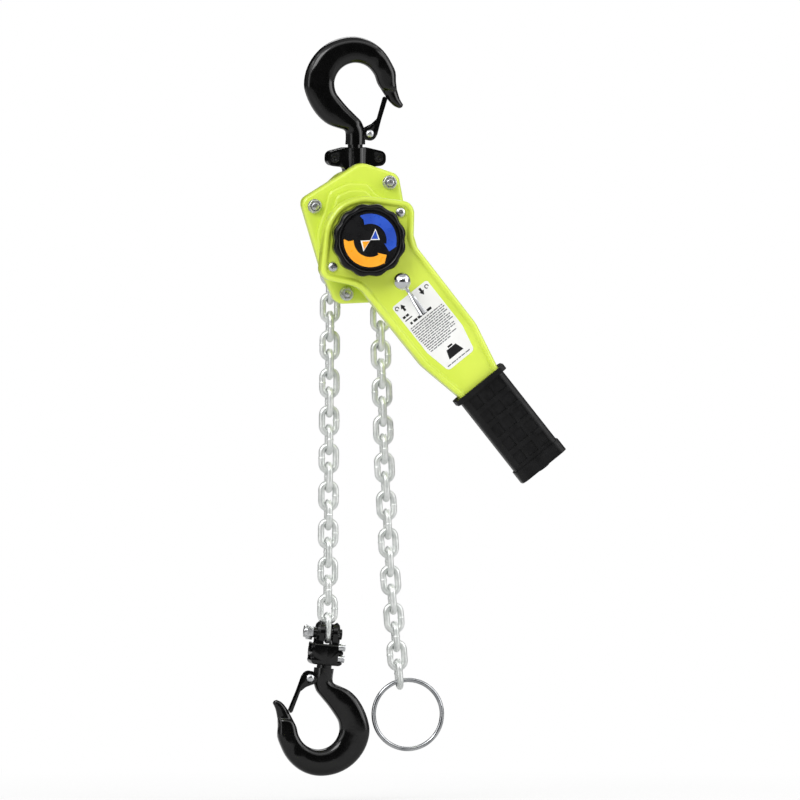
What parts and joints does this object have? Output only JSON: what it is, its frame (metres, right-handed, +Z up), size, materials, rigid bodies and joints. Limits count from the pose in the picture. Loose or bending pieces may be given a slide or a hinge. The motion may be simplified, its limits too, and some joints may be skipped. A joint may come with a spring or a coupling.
{
  "type": "come along winch",
  "caption": "Lever chain hoist with two latched swivel hooks, a pocketed sheave, geared drive, screw brake, changeover lever, hand wheel and hanging link chain.",
  "frame": {"origin": "centre of the top hook's seat, in the hook's middle plane", "axes": "+Z up along the hanging line, -Y towards the hand wheel (front), +X to the viewer's right"},
  "size_m": [0.3184, 0.1801, 0.8242],
  "materials": {
    "black_enamel": "gloss",
    "lime_paint": "gloss",
    "black_screws": "satin",
    "zinc": "satin",
    "chain_steel": "galvanised",
    "machined_steel": "machined",
    "friction_lining": "matte",
    "chrome": "polished",
    "grip_rubber": "matte",
    "black_plastic": "semi gloss",
    "label_white": "satin",
    "label_black": "satin"
  },
  "bodies": {
    "top_hook": {"top_hook": "black_enamel", "top_latch_rivet": "zinc", "top_latch_spring": "zinc"},
    "top_hook_latch": {"top_hook_latch": "black_enamel"},
    "top_yoke": {"top_yoke_front": "black_enamel", "top_yoke_rear": "black_enamel", "top_yoke_screws": "black_screws", "top_pin": "zinc"},
    "frame": {"side_plate_front": "lime_paint", "side_plate_rear": "lime_paint", "stay_bolts": "zinc", "stay_nuts_front": "zinc", "stay_nuts_rear": "zinc", "brake_cover": "lime_paint", "gear_cover": "lime_paint", "chain_guide_left": "machined_steel", "chain_guide_right": "machined_steel", "chain_stripper": "machined_steel", "sheave_bearings": "machined_steel", "brake_pawl_pins": "zinc"},
    "sheave": {"load_sheave": "machined_steel", "load_gear": "machined_steel", "wrapped_chain": "chain_steel"},
    "intermediate_gear_top": {"intermediate_gear_top": "machined_steel"},
    "intermediate_gear_bottom": {"intermediate_gear_bottom": "machined_steel"},
    "drive_shaft": {"drive_shaft": "machined_steel", "brake_hub": "machined_steel", "friction_discs": "friction_lining", "change_gear": "machined_steel", "shaft_nut": "zinc"},
    "hand_wheel": {"hand_wheel": "black_plastic", "hand_wheel_label": "label_black"},
    "ratchet_disc": {"ratchet_disc": "machined_steel"},
    "brake_pawl_top": {"brake_pawl_top": "machined_steel"},
    "brake_pawl_bottom": {"brake_pawl_bottom": "machined_steel"},
    "lever": {"lever_shell_rear": "lime_paint", "lever_shell_front": "lime_paint", "lever_screws": "zinc", "lever_grip": "grip_rubber", "lever_label": "label_white", "pawl_plunger": "zinc"},
    "selector": {"changeover_pawl": "machined_steel", "selector_lever": "chrome"},
    "load_chain_top": {"load_chain_top": "chain_steel"},
    "load_chain_middle": {"load_chain_middle": "chain_steel"},
    "load_chain_bottom": {"load_chain_bottom": "chain_steel"},
    "bottom_yoke": {"chain_pin": "zinc", "bottom_yoke_left": "black_enamel", "bottom_yoke_right": "black_enamel", "bottom_yoke_screws": "zinc"},
    "bottom_hook": {"bottom_hook": "black_enamel", "bottom_latch_rivet": "zinc", "bottom_latch_spring": "zinc"},
    "bottom_hook_latch": {"bottom_hook_latch": "black_enamel"},
    "tail_chain_top": {"tail_chain_top": "chain_steel"},
    "tail_chain_middle": {"tail_chain_middle": "chain_steel"},
    "tail_chain_low": {"tail_chain_low": "chain_steel"},
    "tail_chain_bottom": {"tail_chain_bottom": "chain_steel"},
    "end_ring": {"end_ring": "chrome"}
  },
  "joints": [
    {"name": "top_latch_pivot", "type": "hinge", "parent": "top_hook", "child": "top_hook_latch", "pos_m": [0.0154, 0, -0.0549], "axis": [0, 1, 0], "range_deg": [-42, 0], "stiffness_Nm_per_rad": 0.05, "springref_deg": 20.05},
    {"name": "top_swivel", "type": "hinge", "parent": "top_hook", "child": "top_yoke", "pos_m": [0, 0, -0.085], "axis": [0, 0, 1], "continuous": true},
    {"name": "top_pin_pivot", "type": "hinge", "parent": "top_yoke", "child": "frame", "pos_m": [0, 0, -0.1085], "axis": [0, 1, 0], "range_deg": [-12, 12]},
    {"name": "sheave_turn", "type": "hinge", "parent": "frame", "child": "sheave", "pos_m": [0, 0, -0.1705], "axis": [0, 1, 0], "range_deg": [-11.25, 18.75]},
    {"name": "intermediate_top_turn", "type": "hinge", "parent": "frame", "child": "intermediate_gear_top", "pos_m": [0, 0, -0.1405], "axis": [0, 1, 0], "range_deg": [-60, 40]},
    {"name": "intermediate_bottom_turn", "type": "hinge", "parent": "frame", "child": "intermediate_gear_bottom", "pos_m": [0, 0, -0.2005], "axis": [0, 1, 0], "range_deg": [-60, 40]},
    {"name": "drive_shaft_turn", "type": "hinge", "parent": "frame", "child": "drive_shaft", "pos_m": [0, 0, -0.1705], "axis": [0, 1, 0], "range_deg": [-100, 160]},
    {"name": "hand_wheel_turn", "type": "hinge", "parent": "drive_shaft", "child": "hand_wheel", "pos_m": [0, 0, -0.1705], "axis": [0, 1, 0], "range_deg": [-60, 0]},
    {"name": "ratchet_disc_turn", "type": "hinge", "parent": "frame", "child": "ratchet_disc", "pos_m": [0, 0, -0.1705], "axis": [0, 1, 0], "continuous": true},
    {"name": "brake_pawl_top_lift", "type": "hinge", "parent": "frame", "child": "brake_pawl_top", "pos_m": [-0.02275, 0, -0.1311], "axis": [0, 1, 0], "range_deg": [-10, 0], "stiffness_Nm_per_rad": 0.02, "springref_deg": 28.65},
    {"name": "brake_pawl_bottom_lift", "type": "hinge", "parent": "frame", "child": "brake_pawl_bottom", "pos_m": [0.02275, 0, -0.2099], "axis": [0, 1, 0], "range_deg": [-10, 0], "stiffness_Nm_per_rad": 0.02, "springref_deg": 28.65},
    {"name": "lever_swing", "type": "hinge", "parent": "frame", "child": "lever", "pos_m": [0, 0, -0.1705], "axis": [0, 1, 0], "continuous": true},
    {"name": "selector_turn", "type": "hinge", "parent": "lever", "child": "selector", "pos_m": [0.03628, 0, -0.21627], "axis": [0, 1, 0], "range_deg": [-15, 15]},
    {"name": "load_chain_feed", "type": "hinge", "parent": "sheave", "child": "load_chain_top", "pos_m": [-0.02768, 0, -0.17195], "axis": [0, 1, 0], "range_deg": [-20, 15]},
    {"name": "load_chain_bend_upper", "type": "hinge", "parent": "load_chain_top", "child": "load_chain_middle", "pos_m": [-0.02903, 0, -0.32625], "axis": [0, 1, 0], "range_deg": [0, 30]},
    {"name": "load_chain_bend_lower", "type": "hinge", "parent": "load_chain_middle", "child": "load_chain_bottom", "pos_m": [-0.03025, 0, -0.46594], "axis": [0, 1, 0], "range_deg": [0, 30]},
    {"name": "chain_pin_pivot", "type": "hinge", "parent": "load_chain_bottom", "child": "bottom_yoke", "pos_m": [-0.03153, 0, -0.61233], "axis": [0.9956, 0, -0.0941], "range_deg": [-12, 12]},
    {"name": "bottom_swivel", "type": "hinge", "parent": "bottom_yoke", "child": "bottom_hook", "pos_m": [-0.03388, 0, -0.63722], "axis": [0.0941, 0, 0.9956], "continuous": true},
    {"name": "bottom_latch_pivot", "type": "hinge", "parent": "bottom_hook", "child": "bottom_hook_latch", "pos_m": [-0.05167, 0, -0.66176], "axis": [0, 1, 0], "range_deg": [-42, 0], "stiffness_Nm_per_rad": 0.05, "springref_deg": 20.05},
    {"name": "tail_chain_feed", "type": "hinge", "parent": "sheave", "child": "tail_chain_top", "pos_m": [0.02768, 0, -0.16905], "axis": [0, 1, 0], "range_deg": [-20, 15]},
    {"name": "tail_chain_bend_upper", "type": "hinge", "parent": "tail_chain_top", "child": "tail_chain_middle", "pos_m": [0.02878, 0, -0.29504], "axis": [0, 1, 0], "range_deg": [-30, 0]},
    {"name": "tail_chain_bend_middle", "type": "hinge", "parent": "tail_chain_middle", "child": "tail_chain_low", "pos_m": [0.03274, 0, -0.42098], "axis": [0, 1, 0], "range_deg": [-30, 0]},
    {"name": "tail_chain_bend_lower", "type": "hinge", "parent": "tail_chain_low", "child": "tail_chain_bottom", "pos_m": [0.03933, 0, -0.54681], "axis": [0, 1, 0], "range_deg": [-30, 0]},
    {"name": "ring_swing", "type": "hinge", "parent": "tail_chain_bottom", "child": "end_ring", "pos_m": [0.04977, 0, -0.66605], "axis": [1, 0, 0], "range_deg": [-45, 45]}
  ],
  "couplings": [
    {"joint": "drive_shaft_turn", "follows": "sheave_turn", "ratio": 8},
    {"joint": "intermediate_top_turn", "follows": "sheave_turn", "ratio": -2.6667},
    {"joint": "intermediate_bottom_turn", "follows": "sheave_turn", "ratio": -2.6667},
    {"joint": "load_chain_feed", "follows": "sheave_turn", "ratio": -1},
    {"joint": "tail_chain_feed", "follows": "sheave_turn", "ratio": -1}
  ]
}
